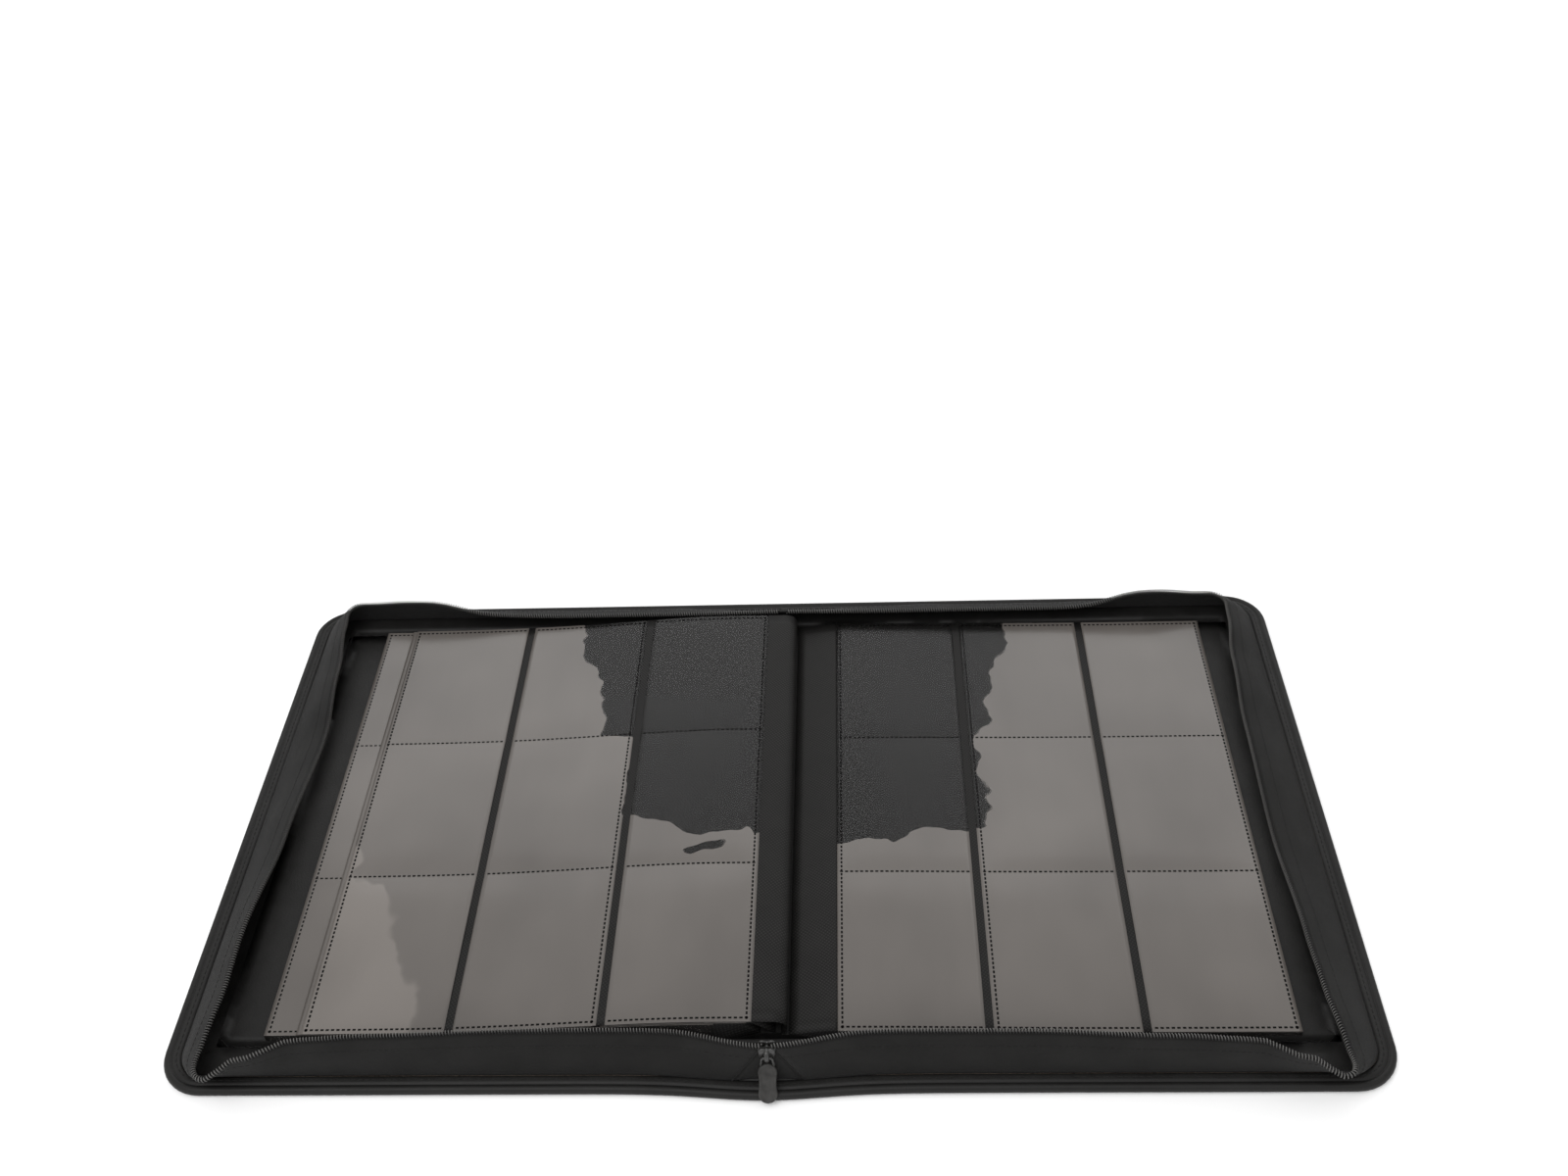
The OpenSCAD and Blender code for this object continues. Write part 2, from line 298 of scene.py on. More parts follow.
def leather_material(name, level=0.011, grain=1.0):
    """Fine-grained PU leather: pebbles, pores and faint rubbed areas."""
    mat, tree, shader = new_material(name, grey(level), 0.5, 0.17)
    at = coords(tree)
    pebble = node(tree, "TexVoronoi", {"Vector": at, "Scale": 1250 / grain, "Randomness": 1.0},
                  feature="SMOOTH_F1").outputs["Distance"]
    fine = noise_tex(tree, at, 2600, 2)
    broad = noise_tex(tree, at, 26, 4)
    rub = noise_tex(tree, at, 120, 5)
    color = ramp(tree, plus(tree, times(tree, broad, 0.6), times(tree, rub, 0.4)),
                 [(0.3, grey(level * 0.72)), (0.7, grey(level * 1.35))])
    rough = spread(tree, plus(tree, rub, times(tree, pebble, 0.3)), 0.40, 0.60, 0.3, 0.9)
    feed(tree, shader, Base_Color=color, Roughness=rough)
    height = plus(tree, times(tree, pebble, -0.9), times(tree, fine, 0.35))
    finish_bump(tree, shader, height, 0.12 * MM, 0.75)
    return mat


def crossed_waves(tree, at, sets):
    """Product of two bands of waves at right angles."""
    waves = [node(tree, "TexWave", {"Vector": at, **sets}, wave_type="BANDS", bands_direction=way)
             for way in ("X", "Y")]
    return times(tree, *(wave.outputs["Fac"] for wave in waves))


def weave_material(name, pitch, level, twill=0.0):
    """Woven polyester: two crossed rib waves, with fuzz and uneven dye."""
    mat, tree, shader = new_material(name, grey(level), 0.82, 0.12)
    shader.inputs["Sheen Weight"].default_value = 0.05
    shader.inputs["Sheen Roughness"].default_value = 0.5
    at = coords(tree, angle=twill)
    mesh = crossed_waves(tree, at, {"Scale": 1 / pitch / 3.0, "Distortion": 0.6, "Detail": 1.0,
                                    "Detail Scale": 2.0})
    fuzz = noise_tex(tree, at, 900, 3)
    dye = noise_tex(tree, at, 40, 4)
    color = ramp(tree, plus(tree, times(tree, mesh, 0.35), times(tree, dye, 0.6)),
                 [(0.2, grey(level * 0.6)), (0.75, grey(level * 1.5))])
    feed(tree, shader, Base_Color=color)
    finish_bump(tree, shader, plus(tree, mesh, times(tree, fuzz, 0.5)), 0.16 * MM, 0.8)
    return mat


EMBOSS_PITCH = 1.4 * MM


def page_material(name):
    """Black polypropylene with a fine diagonal linen emboss."""
    mat, tree, shader = new_material(name, grey(0.009), 0.5, 0.1)
    at = coords(tree, angle=math.radians(38))
    emboss = crossed_waves(tree, at, {"Scale": 1 / EMBOSS_PITCH / 3.18, "Distortion": 0.2})
    cloud = noise_tex(tree, at, 60, 4)
    color = ramp(tree, plus(tree, times(tree, emboss, 0.7), times(tree, cloud, 0.4)),
                 [(0.15, grey(0.006)), (0.75, grey(0.019))])
    feed(tree, shader, Base_Color=color, Roughness=spread(tree, cloud, 0.42, 0.58))
    finish_bump(tree, shader, emboss, 0.045 * MM, 0.7)
    return mat


# where the film clings to the sheet: (height on the page, reach from the spine), in mm
CLING = {
    1: [(-150, 0), (-34, 0), (-30, 22), (-25, 58), (-19, 88), (-14, 112), (5, 110), (40, 107), (60, 112),
        (85, 118), (112, 126), (150, 135)],
    -1: [(-150, 0), (-29, 0), (-24, 40), (-19, 70), (-14, 79), (43, 80), (48, 94), (70, 97), (92, 107),
         (116, 116), (150, 122)],
}
# the left page's outer lower part lies loose, so it looks lighter: its film colour is raised there, partly
# haze and partly painted reflection
LOOSE = [(-150, 168), (-118, 168), (-104, 178), (-84, 190), (-66, 194), (-52, 206), (-30, 222),
         (20, 300), (150, 300)]
PAGE_SPAN = 300


def reach_at(tree, up, keys):
    """Reach in metres for a height in metres, read off a table in mm."""
    half = PAGE_SPAN / 2
    along = plus(tree, calc(tree, "DIVIDE", up, PAGE_SPAN * MM), 0.5)
    table = ramp(tree, along, [((y + half) / PAGE_SPAN, (r / PAGE_SPAN,) * 3) for y, r in keys])
    return times(tree, table, PAGE_SPAN * MM)


def beyond(tree, out, reach, soft):
    """0 inside the reach, 1 outside it, with a soft edge."""
    past = calc(tree, "DIVIDE", calc(tree, "SUBTRACT", out, reach), soft)
    return node(tree, "MapRange", {"Value": past}, interpolation_type="SMOOTHSTEP").outputs[0]


def film_tone(value):
    return (value, value * 0.905, value * 0.83)


def film_material(name, side=0, pressed=False):
    """Clear film, hazy where it stands off the sheet and dark where it clings to it; its grey colour is
    partly haze and partly painted reflection of the bright surroundings.
    """
    level = 0.100
    mat, tree, shader = new_material(name, film_tone(level), 0.26, 0.3)
    shader.inputs["Coat Weight"].default_value = 0.18
    shader.inputs["Coat Roughness"].default_value = 0.08
    at = coords(tree)
    haze = noise_tex(tree, at, 11, 2, 0.45)
    streak = noise_tex(tree, coords(tree, scale=(1, 0.3, 1)), 60, 2, 0.4)
    stand_off = spread(tree, haze, 0.90, 0.96, 0.3, 0.7)
    haze_and_reflection_tone = plus(tree, times(tree, haze, 0.8), times(tree, streak, 0.2))
    if pressed:
        stand_off = times(tree, stand_off, 0.07)
    if side:
        split = node(tree, "SeparateXYZ", {"Vector": at})
        elsewhere = node(tree, "Mapping", {"Vector": at, "Location": (3, 5, 0)}).outputs[0]
        drift = [times(tree, calc(tree, "SUBTRACT", noise_tex(tree, where, 38, 2.2, 0.5), 0.5), 30 * MM)
                 for where in (at, elsewhere)]
        out = plus(tree, calc(tree, "ABSOLUTE", split.outputs[0]), drift[0])
        up = plus(tree, split.outputs[1], drift[1])
        loose = beyond(tree, out, reach_at(tree, up, CLING[side]), 1.6 * MM)
        if side < 0:
            # one loose blister inside the clinging area, and the pale outer part
            spot = [calc(tree, "DIVIDE", calc(tree, "SUBTRACT", value, centre), size)
                    for value, centre, size in ((out, 35 * MM, 9 * MM), (up, -36 * MM, 3 * MM))]
            ring = calc(tree, "SQRT", plus(tree, *(times(tree, v, v) for v in spot)))
            loose = calc(tree, "MINIMUM", loose, beyond(tree, ring, 1.0, 0.25))
            pale = beyond(tree, out, reach_at(tree, up, LOOSE), 5 * MM)
            haze_and_reflection_tone = plus(tree, haze_and_reflection_tone, times(tree, pale, 0.5))
        stand_off = times(tree, stand_off, spread(tree, loose, 0.25, 1.0))
    # the film's grey colour: partly haze, partly painted reflection, lighter where the haze noise is high
    color = ramp(tree, haze_and_reflection_tone, [(0.3, film_tone(level * 0.88)), (0.7, film_tone(level * 1.13)),
                              (1.0, film_tone(level * 1.52))])
    if side:
        color = node(tree, "Mix", {"Factor": loose, "A": (*grey(0.010), 1), "B": color}, data_type="RGBA")
        color = color.outputs["Result"]
    feed(tree, shader, Alpha=stand_off, Base_Color=color)
    finish_bump(tree, shader, plus(tree, haze, times(tree, streak, 0.25)), 0.6 * MM, 0.5)
    return mat


def plastic_material(name, level, rough, grain, depth, kind="UV", specular=0.5):
    """Moulded or enamelled black: fine texture, soft scuffs in the gloss."""
    mat, tree, shader = new_material(name, grey(level), rough, specular)
    at = coords(tree, kind=kind)
    fine = noise_tex(tree, at, grain, 3)
    scuff = noise_tex(tree, at, grain / 9, 4)
    color = ramp(tree, scuff, [(0.3, grey(level * 0.7)), (0.75, grey(level * 1.5))])
    feed(tree, shader, Base_Color=color, Roughness=spread(tree, scuff, rough * 0.75, rough * 1.25, 0.3, 0.7))
    finish_bump(tree, shader, fine, depth, 0.7)
    return mat


def coil_material(name):
    """Glossy nylon wire: painted highlight and a smoother finish on the top of each turn, painted shade and a
    duller finish where it passes beneath.
    """
    mat, tree, shader = new_material(name, grey(0.05), 0.3, 0.5)
    at = coords(tree)
    along = node(tree, "SeparateXYZ", {"Vector": at}).outputs[0]
    # painted highlight and painted shade: bright on the top of each turn, dark beneath it, set by the turn's
    # phase along the wire
    painted_crown_light = calc(tree, "COSINE", times(tree, along, math.tau / TURN_UV))
    wear_and_glint = noise_tex(tree, coords(tree, kind="Object"), 300, 2)
    painted_crown_light = plus(tree, painted_crown_light, times(tree, wear_and_glint, 0.4))
    shade = spread(tree, painted_crown_light, 0.0, 1.0, 0.1, 1.2)
    # colour runs from painted shade (dark) to painted highlight (bright)
    color = ramp(tree, shade, [(0.0, grey(0.002)), (1.0, grey(0.085))])
    feed(tree, shader, Base_Color=color, Roughness=spread(tree, shade, 0.7, 0.28))
    finish_bump(tree, shader, wear_and_glint, 0.02 * MM, 0.5)
    return mat


def board_material(name):
    """Grey-brown stiffening board with fibres."""
    mat, tree, shader = new_material(name, (0.2, 0.16, 0.12), 0.9, 0.2)
    at = coords(tree, scale=(1, 0.2, 1), kind="Object")
    fibre = noise_tex(tree, at, 800, 4, 0.7)
    feed(tree, shader, Base_Color=ramp(tree, fibre, [(0.3, (0.13, 0.10, 0.075)), (0.7, (0.27, 0.22, 0.17))]))
    finish_bump(tree, shader, fibre, 0.1 * MM)
    return mat


def floor_material(name):
    mat, tree, shader = new_material(name, (0.93, 0.93, 0.93), 0.9, 0.05)
    soft = noise_tex(tree, coords(tree, kind="Object"), 2, 2)
    feed(tree, shader, Base_Color=ramp(tree, soft, [(0.3, (0.925,) * 3), (0.7, (0.94,) * 3)]))
    return mat


LEATHER = leather_material("pu_leather")
LINING = leather_material("lining_leather", level=0.010, grain=0.8)
THREAD = weave_material("thread", 0.25 * MM, level=0.016, twill=0.6)
FABRIC = weave_material("gusset_weave", 0.42 * MM, level=0.011)
COIL = coil_material("coil_nylon")
PAGE = page_material("embossed_page")
FILM = film_material("film")
FILM_R = film_material("film_right", 1)
FILM_L = film_material("film_left", -1)
PRESSED_FILM = film_material("film_pressed", pressed=True)
WELD = plastic_material("weld", 0.004, 0.6, 2000, 0.03 * MM, specular=0.04)
ENAMEL = plastic_material("slider_enamel", 0.018, 0.3, 1500, 0.03 * MM, kind="Object")
RUBBER = plastic_material("pull_rubber", 0.030, 0.55, 3000, 0.05 * MM, kind="Object", specular=0.2)
BOARD = board_material("stiff_board")
BLOCK = plastic_material("binding_strip", 0.007, 0.6, 1400, 0.08 * MM, kind="Object", specular=0.1)


# ---------- outline of a cover, from the spine's middle round to its middle ----------

def fold_steps(end):
    """Stations along X from the spine's middle: close together at the fold and the seam."""
    near = [0, 4, 8, 11, 14, 16.5, 19, 21, 23, 25, 27.5, 30, 33, 36, 39]
    seam = [41.2, 41.9, 42.5, 43.1, 43.8, 47]
    steps = [v * MM for v in near + seam]
    rest = int((end - steps[-1]) / (8 * MM))
    return steps + [lerp(steps[-1], end, (i + 1) / rest) for i in range(rest)]


STRAIGHT = fold_steps(HALF_W - CORNER_R)
ARC_STEPS = 10
SIDE_STEPS = 40


def bow(x):
    """How far the near edge bulges out, where the soft spine pushes it."""
    return 3.4 * MM * math.exp(-((x + 2 * MM) / (36 * MM)) ** 2)


def outline(inset, sign=1):
    """Points and inward normals of the cover's three sides, at a distance inside its edge."""
    r = CORNER_R - inset
    cx, cy = HALF_W - CORNER_R, HALF_H - CORNER_R
    out = [((x, -(HALF_H - inset)), (0, 1)) for x in STRAIGHT]
    for i in range(1, ARC_STEPS):
        a = math.radians(-90 + 90 * i / ARC_STEPS)
        out.append(((cx + r * math.cos(a), -cy + r * math.sin(a)), (-math.cos(a), -math.sin(a))))
    out += [((HALF_W - inset, lerp(-cy, cy, i / SIDE_STEPS)), (-1, 0)) for i in range(SIDE_STEPS + 1)]
    mirror = [((x, -y), (nx, -ny)) for (x, y), (nx, ny) in reversed(out[:len(STRAIGHT) + ARC_STEPS - 1])]
    near = [((x, y - bow(sign * x)), n) for (x, y), n in out[:len(STRAIGHT)]]
    out = near + out[len(STRAIGHT):] + mirror
    return [((sign * x, y + Y_MID), (sign * nx, ny)) for (x, y), (nx, ny) in out]


ROWS = len(STRAIGHT) + ARC_STEPS


def half_surface(name, sign, profile, inner_z, material, upward):
    """A cover half: a profile swept round three sides, and a filled middle.

    profile is (inset, z) pairs from its first edge to the middle's edge."""
    verts, uvs = [], []
    stations = len(outline(0))
    for k, (inset, z) in enumerate(profile):
        for (x, y), (nx, ny) in outline(inset, sign):
            wave = wobble(x * 9, y * 9, 3.7) * 0.16 * MM
            sway = wave if 0 < k and z > 2 * MM else 0
            push = wave * 0.8 if inset < 3 * MM else 0
            verts.append(Vector((x + nx * push, y + ny * push, z + sway)))
            uvs.append((x - nx * z, y - ny * z))
    faces = grid_faces(len(profile), stations, flip=sign > 0)
    ring = (len(profile) - 1) * stations
    grid = []
    for i in range(ROWS):
        near, far = ring + i, ring + stations - 1 - i
        if i == ROWS - 1:
            grid.append([ring + i + j for j in range(SIDE_STEPS + 1)])
            continue
        a, b = verts[near], verts[far]
        row = [near]
        for j in range(1, SIDE_STEPS):
            p = lerp(a, b, j / SIDE_STEPS)
            p.z = inner_z(abs(p.x), p.y - Y_MID)
            row.append(len(verts))
            verts.append(p)
            uvs.append((p.x, p.y))
        grid.append(row + [far])
    for i in range(ROWS - 1):
        for j in range(SIDE_STEPS):
            quad = (grid[i][j], grid[i][j + 1], grid[i + 1][j + 1], grid[i + 1][j])
            faces.append(quad if (sign > 0) != upward else quad[::-1])
    return mesh_piece(name, verts, faces, material, uvs)


def bent(piece):
    """Bakes a piece's transform into its mesh."""
    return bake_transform(piece)


# section through the border, as (inset, z) in mm: stitched top, rim and turned-under edge
SKIN_PROFILE = [(8.5, 3.9), (8.1, 4.25), (7.7, 4.62), (7.0, 4.80), (6.2, 4.74), (5.4, 4.78), (4.6, 4.66),
                (4.1, 4.30), (3.8, 4.05), (3.5, 4.28), (3.0, 4.72), (2.2, 4.92), (1.3, 4.78), (0.55, 4.2),
                (0.13, 3.35), (0.0, 2.4), (0.14, 1.5), (0.6, 0.75), (1.4, 0.3), (2.6, 0.14), (3.6, 0.16),
                (4.0, 0.42), (4.4, 0.16), (5.4, 0.10), (8.0, 0.10), (12.0, 0.08)]
COVER_SEAM_X = FOLD_X + 20 * MM


def skin_inside(x, y):
    """Height of the cover's outer face: flat on the table, with the seam beside the spine."""
    seam = 0.42 * MM * math.exp(-((x - COVER_SEAM_X) / (0.55 * MM)) ** 2)
    return 0.03 * MM + seam + 0.05 * MM * (1 + wobble(x * 30, y * 30, 1.0))


def in_mm(profile):
    return [(a * MM, b * MM) for a, b in profile]


LINING_PROFILE = [(8.7, 3.9), (9.0, 4.2), (9.6, 4.42), (11, 4.5), (16, 4.46), (24, 4.40)]


def lining_inside(x, y):
    return 4.40 * MM + 0.09 * MM * wobble(x * 22, y * 22, 8.0)


def run_of_stitches(batch, path, up, pitch, length, radius):
    """Thread stitches of even pitch along a polyline; up gives the way out of the cloth."""
    travel, need = 0.0, pitch / 2
    for a, b in zip(path, path[1:]):
        step = (b - a).length
        while travel + step > need:
            t = (need - travel) / step
            way = (b - a).normalized()
            p = lerp(a, b, t)
            jig = rng.uniform(-0.06, 0.06) * MM
            normal = up(p) if callable(up) else up
            side = way.cross(normal) * jig
            batch.stitch(p - way * length / 2 + side, p + way * length / 2 - side, normal, radius)
            need += pitch
        travel += step


def skin_half(side):
    sign = side_sign(side)
    skin = half_surface(side + "_skin", sign, in_mm(SKIN_PROFILE), skin_inside, LEATHER, upward=False)
    nodes = [side + "_cover_skin"] + (["spine_skin"] if side == "back" else [])
    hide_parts(*nodes)
    bent(skin)
    lining = half_surface(side + "_lining", sign, in_mm(LINING_PROFILE), lining_inside, LINING, upward=True)
    nodes = [side + "_cover_lining"] + (["spine_lining"] if side == "back" else [])
    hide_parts(*nodes)
    bent(lining)
    threads = Batch()
    rim = [Vector((x, y, 4.76 * MM)) for (x, y), _ in outline(6.2 * MM, sign)]
    under = [Vector((x, y, 0.36 * MM)) for (x, y), _ in outline(4.0 * MM, sign)]
    seam_x, seam_end = sign * (COVER_SEAM_X + 1.6 * MM), HALF_H - 5 * MM
    seam = [Vector((seam_x, lerp(-seam_end, seam_end, i / 40) + Y_MID, 0.1 * MM)) for i in range(41)]
    for path, up, radius in ((rim, 1, 0.21 * MM), (under, -1, 0.2 * MM), (seam, -1, 0.16 * MM)):
        run_of_stitches(threads, path, Vector((0, 0, up)), 3.3 * MM, 2.3 * MM, radius)
    sewn = threads.piece(side + "_stitching", THREAD)
    bent(sewn)


# ---------- gusset walls, zip coils ----------

SEAM_INSET = 8.85 * MM
WALL_W = 24 * MM
WALL_BASE = 4.05 * MM
WALL_ROWS = 10
TAPE_ROW = WALL_ROWS - 3  # the row that the zip tape is stitched along
WALL_HALF_T, TAPE_HALF_T = 0.30 * MM, 0.22 * MM
WALL_START = 8 * MM  # the wall starts this far from the spine's middle
SLANT_END = 60 * MM  # and its ends slant as far as here
SLIDER_HALF = 2.2 * MM
GORE_HALF = 17 * MM
GORE_COLS = 8
LEAN_LIMIT = 0.985 * WALL_W
TOP_LIMIT = 22.9 * MM
FAR_RISE = 13.5 * MM  # the far wall has slumped to this height
FAR_FROM, FAR_OVER = 0.74, 0.08  # shares of the way round
BELLY, FAR_BELLY = 1.3, 3.2  # in mm
CREASE = 0.55 * MM

# how far the wall's free edge stands from its seam, across and along the binder, in mm:
# (share of the way round, x, y), from the near end of the spine to its far end
LEANS = {
    "back": [(0.0, 0, 2.5), (0.05, 0, 7), (0.13, -1, 6.5), (0.21, -2, 3.5), (0.25, -2, 1.5), (0.28, -6, -7),
             (0.305, -11, -13), (0.33, -17, -11), (0.36, -20, -4), (0.39, -21, 0), (0.47, -22.8, 0),
             (0.56, -22, 0), (0.62, -20, -1), (0.66, -17, -4), (0.70, -15, -8), (0.75, -7, -10),
             (0.80, -2, -14.5), (0.86, 0, -14.5), (0.95, 0, -14.5), (1.0, 0, -14)],
    "front": [(0.0, 0, 2.5), (0.05, 0, 8), (0.13, -1, 8), (0.21, -2, 5.5), (0.25, -3, 3.5), (0.28, -5, -6),
              (0.305, -10, -13), (0.33, -15, -10), (0.36, -17, -3), (0.39, -16.5, 0), (0.47, -20, 0),
              (0.56, -22, 0), (0.62, -19, -1), (0.66, -16, -3), (0.70, -13, -7), (0.75, -6, -9),
              (0.80, -2, -13), (0.86, 0, -14.5), (0.95, 0, -14.5), (1.0, 0, -14)],
}


def lean_at(side, t):
    keys = LEANS[side]
    for (ta, xa, ya), (tb, xb, yb) in zip(keys, keys[1:]):
        if t <= tb:
            u = smooth((t - ta) / (tb - ta))
            return lerp(xa, xb, u) * MM, lerp(ya, yb, u) * MM
    return keys[-1][1] * MM, keys[-1][2] * MM


def wall_stations(side):
    """Base points round the cover: (point, inward normal, share of the way, distance)."""
    sign = side_sign(side)
    points = [(Vector((x, y, WALL_BASE)), normal) for (x, y), normal in outline(SEAM_INSET, sign)
              if abs(x) >= WALL_START]
    lengths = [0.0]
    for (a, _), (b, _) in zip(points, points[1:]):
        lengths.append(lengths[-1] + (b - a).length)
    return [(p, n, s / lengths[-1], s) for (p, n), s in zip(points, lengths)]


def wall_grid(side):
    """Rows of points from seam to free edge, one row for each station."""
    sign = side_sign(side)
    rows, uvs = [], []
    for base, (nx, ny), t, s in wall_stations(side):
        lx, ly = lean_at(side, t)
        reach = math.hypot(lx, ly)
        if reach > LEAN_LIMIT:
            lx, ly, reach = lx * LEAN_LIMIT / reach, ly * LEAN_LIMIT / reach, LEAN_LIMIT
        rise = min(TOP_LIMIT, math.sqrt(WALL_W ** 2 - reach ** 2))
        slump = smooth((t - FAR_FROM) / FAR_OVER)
        rise = lerp(rise, min(rise, FAR_RISE), slump)
        chord = Vector((sign * lx, ly, rise))
        outward = Vector((-nx, -ny, 0))
        swell = (outward + Vector((0, 0, 1)) * reach / WALL_W).normalized()
        ends = min(abs(base.x), SLANT_END) / SLANT_END
        row = []
        for k in range(WALL_ROWS + 1):
            f = k / WALL_ROWS
            belly = lerp(BELLY, FAR_BELLY, slump) * MM * math.sin(math.pi * f) * ends
            crease = CREASE * wobble(s * 42, f * 2.2, 5 if sign > 0 else 9)
            p = base + chord * f + swell * (belly + crease * math.sin(math.pi * min(f * 1.15, 1)))
            if abs(base.x) < SLANT_END:
                u = (abs(base.x) - WALL_START) / (SLANT_END - WALL_START)
                p.x = lerp(sign * lerp(GORE_HALF, SLIDER_HALF, f), sign * SLANT_END, u)
            row.append(p)
        rows.append(row)
        uvs.append([(s, k / WALL_ROWS * WALL_W) for k in range(WALL_ROWS + 1)])
    return rows, uvs


def row_normal(rows, i, k):
    a = rows[max(i - 1, 0)][k]
    b = rows[min(i + 1, len(rows) - 1)][k]
    low, high = rows[i][max(k - 1, 0)], rows[i][min(k + 1, WALL_ROWS)]
    return (b - a).cross(high - low).normalized()


def gusset(side):
    """One cover's fabric wall with its coil and stitches; gives back the wall's rows."""
    sign = side_sign(side)
    rows, uvs = wall_grid(side)
    outer, inner = [], []
    for i, row in enumerate(rows):
        ways = [row_normal(rows, i, k) * sign * (WALL_HALF_T if k < TAPE_ROW - 1 else TAPE_HALF_T)
                for k in range(len(row))]
        outer.append([p + way for p, way in zip(row, ways)])
        inner.append([p - way for p, way in zip(row, ways)])
    wall = closed_sheet(side + "_gusset", outer, inner, FABRIC, uvs, flip=sign > 0)
    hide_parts(side + "_zip_gusset")
    bent(wall)
    coil(side, rows)
    threads = Batch()
    line = [row[TAPE_ROW] for row in outer]
    normals = {tuple(p): row_normal(rows, i, TAPE_ROW) * sign for i, p in enumerate(line)}

    def out_of_wall(p):
        near = min(normals, key=lambda q: (q[0] - p.x) ** 2 + (q[1] - p.y) ** 2 + (q[2] - p.z) ** 2)
        return normals[near]

    run_of_stitches(threads, line, out_of_wall, 2.9 * MM, 2.0 * MM, 0.15 * MM)
    sewn = threads.piece(side + "_tape_stitching", THREAD)
    bent(sewn)
    return rows


def coil(side, rows):
    """The nylon coil: one long helix sewn along the wall's free edge."""
    pitch, wire, half_w, half_h = 1.42 * MM, 0.30 * MM, 1.2 * MM, 0.95 * MM
    top = [row[-1] for row in rows]
    up = [(row[-1] - row[-2]).normalized() for row in rows]
    ways = [(top[min(i + 1, len(top) - 1)] - top[max(i - 1, 0)]).normalized() for i in range(len(top))]
    rings, travel, need = [], 0.0, 0.0
    for i, (a, b) in enumerate(zip(top, top[1:])):
        step = (b - a).length
        while need <= travel + step:
            t = (need - travel) / step
            way = lerp(ways[i], ways[i + 1], t).normalized()
            rise = lerp(up[i], up[i + 1], t)
            across = way.cross(rise).normalized()
            rise = across.cross(way).normalized()
            turn = math.tau * need / pitch
            out = rise * math.cos(turn) + across * math.sin(turn)
            middle = lerp(a, b, t) + rise * (0.5 * MM + half_h * math.cos(turn))
            middle = middle + across * half_w * math.sin(turn)
            rings.append([middle + d * wire for d in (out, way, -out, -way)])
            need += pitch / COIL_STEPS
        travel += step
    batch = Batch()
    batch.rings(rings)
    piece = batch.piece(side + "_coil", COIL)
    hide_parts(side + "_zip_coil")
    bent(piece)


def end_gores(walls):
    """The two tapered pieces at the spine's ends, between the walls' slanted edges."""
    for name, index in (("near_end_gore", 0), ("far_end_gore", -1)):
        left, right = walls["front"][index], walls["back"][index]
        outer, inner, uvs = [], [], []
        face = Vector((0, -1 if index == 0 else 1, 0))
        for k in range(WALL_ROWS + 1):
            row = []
            for t in (j / GORE_COLS for j in range(GORE_COLS + 1)):
                tuck = -0.9 * MM * math.sin(math.pi * t) * (1 - k / WALL_ROWS)
                row.append(lerp(left[k], right[k], t) + face * tuck)
            outer.append([p + face * TAPE_HALF_T for p in row])
            inner.append([p - face * TAPE_HALF_T for p in row])
            uvs.append([(p.x, k / WALL_ROWS * WALL_W) for p in row])
        gore = closed_sheet(name, outer, inner, FABRIC, uvs, flip=index == -1)
        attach(gore, "spine")
        seams = Batch()
        for edge in (left, right):
            path = [p + face * 0.35 * MM for p in edge]
            seams.rings(tube_points(path, 0.42 * MM, 6, squeeze=0.8))
        welt = seams.piece(name + "_welt", FABRIC)
        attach(welt, "spine")
    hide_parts("spine_end_gores")


# ---------- leaves ----------

# each side's low wave beside the gutter: its height, and how far from the root it takes to rise
HUMP = {-1: 8.5 * MM, 1: 2.5 * MM}
RISE_OVER = {-1: 10 * MM, 1: 22 * MM}
CREST_X, FALL_OVER = 26 * MM, 92 * MM
PUFF = 0.38 * MM  # how far the top films stand off their sheets
PAD_TOP, PAD_LOW = 0.17 * MM, 0.07 * MM
TURN_GAP = 1.4 * MM  # the turning leaf starts this much nearer the spine than the leaf below


class Leaf:
    """Where one leaf lies: its root, outer edge, height and share of the stack's hump."""

    def __init__(self, side, k):
        word, count = ("right", RIGHT_LEAVES) if side > 0 else ("left", LEFT_LEAVES)
        self.side, self.stem = side, f"{word}_leaf_{k}"
        lo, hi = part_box(self.stem + "_sheet")
        self.root, self.outer = (lo[0], hi[0]) if side > 0 else (hi[0], lo[0])
        self.level = (lo[2] + hi[2]) / 2
        self.share = 1 - 0.95 * (k - 1) / count
        self.turning = side > 0 and k == 1
        if self.turning:
            self.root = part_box("right_leaf_2_sheet")[0][0] - TURN_GAP

    def z(self, x, y):
        """Height of the leaf's middle: a low wave beside the gutter, with a faint ripple."""
        out = self.side * (x - self.root)
        away = max(self.side * x - CREST_X, 0) / FALL_OVER
        hump = HUMP[self.side] * self.share * smooth(out / RISE_OVER[self.side]) * math.exp(-away ** 2)
        ripple = 0.12 * MM * wobble(x * 14, y * 11, 20 * self.side)
        return self.level + hump + ripple * smooth(out / (30 * MM))


def leaf_xs(root, outer, film_edges):
    span = outer - root
    xs = {round(root + span * i / 44, 6) for i in range(45)} | {round(e, 6) for e in film_edges}
    return sorted(xs, key=lambda x: x if span > 0 else -x)


def page_ys(count=36):
    return [Y_MID + LEAF_H * (i / count - 0.5) for i in range(count + 1)]


def column_edges(side, outer):
    inner = outer - side * FILM_W
    return [(inner + side * c * (COLUMN_W + STRIPE_W), inner + side * (c * (COLUMN_W + STRIPE_W) + COLUMN_W))
            for c in range(3)]


# section of the top left leaf's lip, curled down into the gutter: (x, z) in mm
LIP = [(6.6, 7.2), (7.5, 9.0), (8.1, 11.2), (8.3, 13.4), (7.8, 15.4), (6.4, 17.0), (4.2, 17.9), (1.6, 18.3)]


FLAT_FROM = -9 * MM


